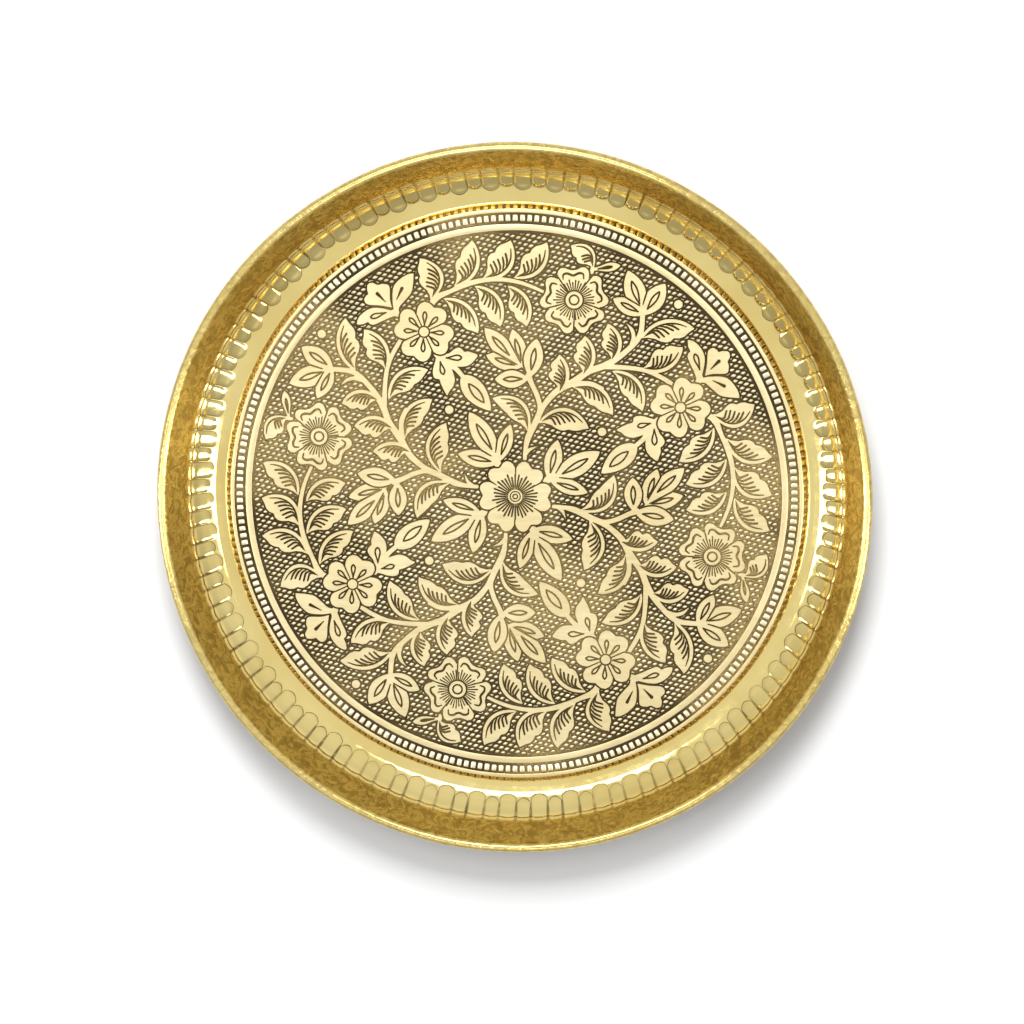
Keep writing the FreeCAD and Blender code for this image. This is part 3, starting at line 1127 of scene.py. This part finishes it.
def flute_rise(across, along, start):
    """How far a flute stands out, from 0 to 1: a flat-topped bar, highest near its foot."""
    foot = np.clip((along - start - FLUTE_ARCH * across ** 2) / FLUTE_FOOT, 0, 1)
    crown = np.clip((along - FLUTE_END + FLUTE_CROWN) / FLUTE_CROWN, 0, 1)
    fall = FLUTE_FALL * np.clip((along - start - FLUTE_FOOT) / (FLUTE_END - start - FLUTE_FOOT), 0, 1)
    return foot ** 1.5 * (2.5 - 1.5 * foot) * (1 - fall) * np.clip(1 - across ** 4 - crown ** 2, 0, None)


def ridge_rise(across, along):
    """A fine scalloped ridge round the flutes' upper ends."""
    middle = FLUTE_END + 0.30 + RIDGE_SCALLOP * (1 - across ** 2)
    return RIDGE_HEIGHT * np.exp(-((along - middle) / 0.27) ** 2)


def fluted_wall(brass):
    """The flared wall, pressed into flutes along its lower slope."""
    corners, _ = wall_corners()
    line = bent(corners, [5.5, 10.0], step=2)
    run = np.concatenate([[0], np.cumsum(np.hypot(*np.diff(line, axis=0).T))])
    along = np.concatenate([[0.0, 0.3], np.arange(0.5, FLUTE_END - 0.8, 0.3),
                            np.arange(FLUTE_END - 0.8, FLUTE_END + 1.3, 0.14),
                            np.linspace(FLUTE_END + 1.5, run[-1], 8)])
    r, z = (np.interp(along, run, line[:, i]) for i in range(2))
    slope = np.stack([np.gradient(r, along), np.gradient(z, along)], axis=1)
    slope /= np.hypot(*slope.T)[:, None]
    out = np.stack([-slope[:, 1], slope[:, 0]], axis=1)
    upper = np.stack([r, z], axis=1)
    section = np.vstack([upper, (upper - SHEET * out)[::-1]])

    columns, rises = [], []
    for pair in range(FLUTE_PAIRS):
        at = pair
        for (share, height, start), count in zip(FLUTES, FLUTE_COLUMNS):
            across = -np.cos(np.arange(count) * math.pi / count)
            for k in range(count):
                columns.append((at + share * (across[k] + 1) / 2) * 2 * math.pi / FLUTE_PAIRS)
                rises.append(height * flute_rise(across[k], along, start) + ridge_rise(across[k], along))
            at += share
    moves = {}
    for angle, rise in zip(columns, rises):
        move = rise[:, None] * out
        moves[angle] = np.vstack([move, move[::-1]])
    points, faces = lathe(section, columns, moves.get)
    fit(new_piece("fluted_wall", points, faces, brass, 50), "polished_brass", "side_wall")


BEAD_GROOVE = 0.07         # fine groove along the top of the rolled edge


def rim_bead(brass):
    """The sheet's edge, rolled outwards over the wire."""
    _, square = wall_corners()
    turned = square - np.radians(np.linspace(0, ROLL_TURN, 73))
    circle = np.stack([np.cos(turned), np.sin(turned)], axis=1)
    outer = ROLL_RADIUS - BEAD_GROOVE * np.exp(-(np.degrees(turned - math.pi / 2) / 7) ** 2)
    inner = ROLL_RADIUS - SHEET
    section = np.vstack([ROLL_CENTRE + outer[:, None] * circle, (ROLL_CENTRE + inner * circle)[::-2]])

    def unevenness(angle):
        return (0.03 * math.sin(5 * angle + 1.3) + 0.02 * math.sin(17 * angle) + 0.008 * math.sin(61 * angle + 2),
                0.03 * math.sin(4 * angle) + 0.015 * math.sin(23 * angle + 0.6))

    points, faces = lathe(section, even_columns(2 * TURNED_COLUMNS), unevenness)
    fit(new_piece("rim_bead", points, faces, brass), "polished_brass", "rim_roll")


# ---------------------------------------------------------------------------------------------
# The stage, in metres and degrees.

CAMERA_TILT = 9.7              # off straight above
CAMERA_TURN = 60.9             # which way it leans, from +X
CAMERA_DISTANCE = 0.753
CAMERA_LENS = 121.1
CAMERA_AIM = (-0.00070, -0.00337)   # right and up from the middle of the floor


def camera():
    tilt, turn = math.radians(CAMERA_TILT), math.radians(CAMERA_TURN)
    back = Vector((math.sin(tilt) * math.cos(turn), math.sin(tilt) * math.sin(turn), math.cos(tilt)))
    right = Vector((0, 1, 0)).cross(back).normalized()
    up = back.cross(right)
    aim = Vector((0, 0, FLOOR_TOP * MM)) + right * CAMERA_AIM[0] + up * CAMERA_AIM[1]
    seen = bpy.data.objects.new("camera", bpy.data.cameras.new("camera"))
    seen.data.lens = CAMERA_LENS
    seen.matrix_world = Matrix.Translation(aim + back * CAMERA_DISTANCE) @ Matrix((right, up, back)).transposed().to_4x4()
    bpy.context.scene.collection.objects.link(seen)
    bpy.context.scene.camera = seen


def softbox(name, bearing, elevation, distance, width, height, power):
    """An area light that faces the tray."""
    light = bpy.data.lights.new(name, "AREA")
    light.shape = "RECTANGLE"
    light.size, light.size_y = width, height
    light.energy = power
    lamp = bpy.data.objects.new(name, light)
    turn, rise = math.radians(bearing), math.radians(elevation)
    away = Vector((math.cos(turn) * math.cos(rise), math.sin(turn) * math.cos(rise), math.sin(rise)))
    lamp.location = away * distance
    lamp.rotation_euler = away.to_track_quat("Z", "Y").to_euler()
    bpy.context.scene.collection.objects.link(lamp)
    return lamp


SKY_TOP = 0.90                 # brightness of the room overhead
SKY_NEAR = 0.46                # and low down, on the side nearest the foot of the picture
SKY_FAR = 0.80                 # and on the far side
SKY_HEIGHTS = (0.22, 0.62)     # where the low part gives way to the top, as the sine of the elevation


def studio():
    """A bright even room, a large light beyond the far edge and a tall one at each side."""
    world = bpy.data.worlds.new("studio")
    world.use_nodes = True
    bpy.context.scene.world = world
    nodes, links = world.node_tree.nodes, world.node_tree.links
    place = nodes.new("ShaderNodeTexCoord")
    apart = nodes.new("ShaderNodeSeparateXYZ")
    links.new(place.outputs["Generated"], apart.inputs[0])

    def eased(value, low, high, first, last):
        node = nodes.new("ShaderNodeMapRange")
        node.interpolation_type = "SMOOTHSTEP"
        links.new(value, node.inputs["Value"])
        node.inputs["From Min"].default_value = low
        node.inputs["From Max"].default_value = high
        for name, wanted in (("To Min", first), ("To Max", last)):
            if isinstance(wanted, bpy.types.NodeSocket):
                links.new(wanted, node.inputs[name])
            else:
                node.inputs[name].default_value = wanted
        return node.outputs["Result"]

    low = eased(apart.outputs["Y"], -0.8, 0.8, SKY_NEAR, SKY_FAR)
    sky = eased(apart.outputs["Z"], *SKY_HEIGHTS, low, SKY_TOP)
    links.new(sky, nodes["Background"].inputs["Strength"])
    nodes["Background"].inputs["Color"].default_value = (1, 1, 1, 1)
    softbox("far_softbox", 108, 68, 1.3, 0.59, 0.46, 5.4)
    softbox("right_softbox", -20, 42, 1.2, 0.22, 1.40, 4.8)
    softbox("left_softbox", 192, 38, 1.2, 0.20, 1.30, 4.2)


def table():
    """A plain pale surface under the tray."""
    mesh = bpy.data.meshes.new("table")
    half = 3.0
    mesh.from_pydata([(-half, -half, 0), (half, -half, 0), (half, half, 0), (-half, half, 0)], [], [(0, 1, 2, 3)])
    surface = bpy.data.objects.new("table", mesh)
    bpy.context.scene.collection.objects.link(surface)
    finish = Finish("table_white")
    finish.give(finish.shader, {"Base Color": (0.43, 0.43, 0.43, 1), "Roughness": 0.9})
    mesh.materials.append(finish.material)
    lit = bpy.data.collections.new("lit_by_table_light")
    lit.objects.link(surface)
    softbox("table_light", 92, 46, 1.3, 0.48, 0.44, 30.0).light_linking.receiver_collection = lit


def tray():
    polished = polished_brass("polished_brass")
    satin = relief_brass("relief_brass", (0.78, 0.67, 0.395), (0.705, 0.58, 0.31))
    # Painted highlight: the dentils and the pebbles get paler copies of the relief brass than the motifs.
    pale = relief_brass("dentil_brass_painted_highlight", (0.81, 0.735, 0.53), (0.755, 0.665, 0.445))
    pebbled = relief_brass("pebble_brass_painted_highlight", (0.81, 0.715, 0.47), (0.75, 0.64, 0.385))
    lacquer = antique_lacquer()
    ornament = draw_ornament()
    floor_sheet(polished)
    patina_ground(lacquer)
    relief_motifs(ornament, satin)
    relief_pebbles(ornament, pebbled)
    border_ring(satin)
    border_edge(satin)
    border_dentils(pale)
    heel_band(polished)
    step_beads(shaded_step_brass(), lacquer)
    fluted_wall(polished_brass("fluted_brass", fluted=True))
    rim_bead(polished)
    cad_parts["rim_wire"].data.materials.clear()
    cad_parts["rim_wire"].data.materials.append(edge_wire())


tray()
table()
studio()
camera()
bpy.context.scene.view_settings.view_transform = "Standard"
